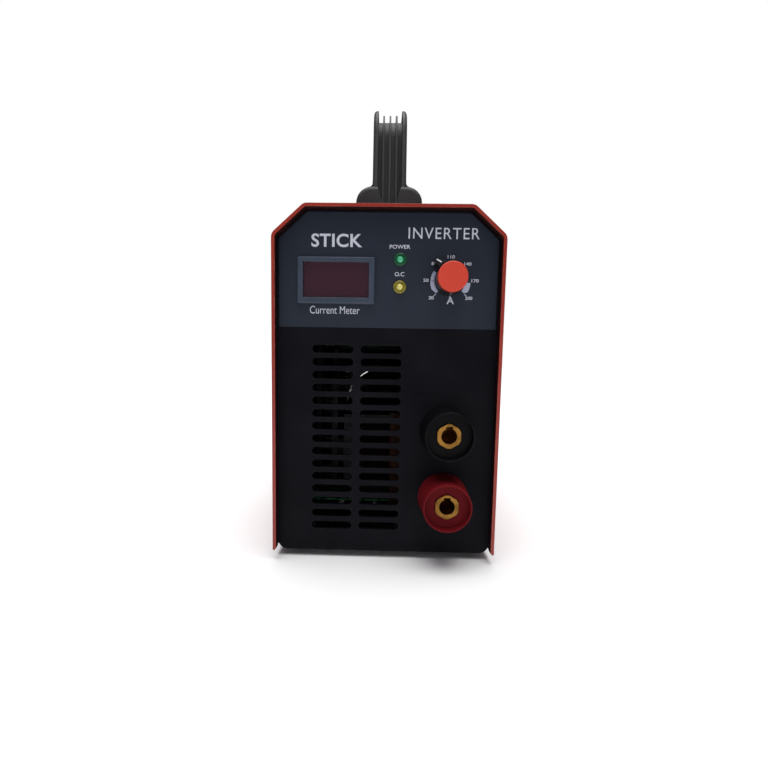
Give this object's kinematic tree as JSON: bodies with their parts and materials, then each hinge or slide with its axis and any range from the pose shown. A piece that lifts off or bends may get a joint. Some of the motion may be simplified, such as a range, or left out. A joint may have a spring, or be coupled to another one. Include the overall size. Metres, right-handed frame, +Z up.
{
  "type": "stick welding inverter",
  "caption": "Portable stick welding inverter: sheet steel hood, black end panels, top handle, current dial, digital meter, twist-lock output sockets, rear fan and switch",
  "frame": {"origin": "on the floor, under the middle of the bounding box", "axes": "+X to the right seen from the front, +Y from the front panel to the back, +Z up"},
  "size_m": [0.1468, 0.264, 0.2984],
  "materials": {
    "case_paint": "satin powder coat, orange-red",
    "panel_plastic": "fine-grained black moulding",
    "overlay_film": "blue-black printed film",
    "handle_plastic": "textured black moulding",
    "tray_steel": "zinc plated sheet",
    "screw_steel": "zinc plated",
    "foot_rubber": "matte",
    "bezel_plastic": "smooth, dark grey-blue",
    "meter_window": "dark maroon tint",
    "digit_plastic": "smooth",
    "led_green": "tinted lens",
    "led_yellow": "tinted lens",
    "ring_green": "tinted",
    "ring_yellow": "tinted",
    "black_plastic": "smooth black",
    "cap_plastic": "orange-red",
    "socket_black": "smooth black nylon",
    "socket_red": "dark red nylon",
    "brass": "turned",
    "copper": "bare copper bar",
    "circuit_board": "green solder mask",
    "aluminium": "turned, bare",
    "anodised_black": "extruded, black anodised",
    "device_epoxy": "moulded epoxy",
    "ferrite": "dark ferrite",
    "copper_winding": "enamelled copper turns",
    "capacitor_sleeve": "printed sleeve",
    "transformer_tape": "yellow tape",
    "relay_case": "smooth blue",
    "wire_insulation": "PVC",
    "fan_plastic": "glass filled black",
    "guard_wire": "plated wire",
    "seal_rubber": "matte"
  },
  "bodies": {
    "case": {"hood": "case_paint", "base_tray": "tray_steel", "front_panel": "panel_plastic", "control_overlay": "overlay_film", "rear_panel": "panel_plastic", "rubber_feet": "foot_rubber", "base_screws": "screw_steel", "hood_screws": "screw_steel", "handle": "handle_plastic", "handle_screws": "screw_steel", "meter_bezel": "bezel_plastic", "meter_lens": "meter_window", "meter_module": "digit_plastic", "led_power": "led_green", "led_overload": "led_yellow", "ring_power": "ring_green", "ring_overload": "ring_yellow", "potentiometer": "black_plastic", "dial_nut": "screw_steel", "control_board": "circuit_board", "socket_negative": "socket_black", "socket_positive": "socket_red", "contact_negative": "brass", "contact_positive": "brass", "socket_nuts": "black_plastic", "terminal_bolts": "screw_steel", "bus_bar_negative": "copper", "bus_bar_positive": "copper", "main_board": "circuit_board", "board_spacers": "black_plastic", "shelf_board": "circuit_board", "small_screws": "screw_steel", "primary_heatsink": "anodised_black", "output_heatsink": "anodised_black", "power_devices": "device_epoxy", "transformer_core": "ferrite", "transformer_winding": "transformer_tape", "choke_core": "ferrite", "choke_winding": "copper_winding", "bus_capacitors": "capacitor_sleeve", "bridge_rectifiers": "device_epoxy", "auxiliary_transformer": "transformer_tape", "soft_start_parts": "relay_case", "mains_leads": "wire_insulation", "signal_leads": "wire_insulation", "fan_frame": "fan_plastic", "fan_guard": "guard_wire", "fan_bolts": "screw_steel", "switch_housing": "black_plastic", "gland_body": "black_plastic", "gland_cap": "black_plastic", "gland_seal": "seal_rubber", "gland_nut": "black_plastic", "earth_stud": "brass", "earth_nuts": "brass"},
    "dial": {"dial_shaft": "aluminium", "dial_knob": "black_plastic", "dial_cap": "cap_plastic"},
    "fan": {"fan_rotor": "fan_plastic"},
    "switch": {"switch_rocker": "black_plastic"}
  },
  "joints": [
    {"name": "current_dial", "type": "hinge", "parent": "case", "child": "dial", "pos_m": [0.0381, -0.111, 0.1797], "axis": [0, 1, 0], "range_deg": [-94, 166]},
    {"name": "fan_spin", "type": "hinge", "parent": "case", "child": "fan", "pos_m": [0, 0.095, 0.0785], "axis": [0, 1, 0], "continuous": true},
    {"name": "power_switch", "type": "hinge", "parent": "case", "child": "switch", "pos_m": [0.032, 0.108, 0.178], "axis": [1, 0, 0], "range_deg": [0, 22]}
  ]
}
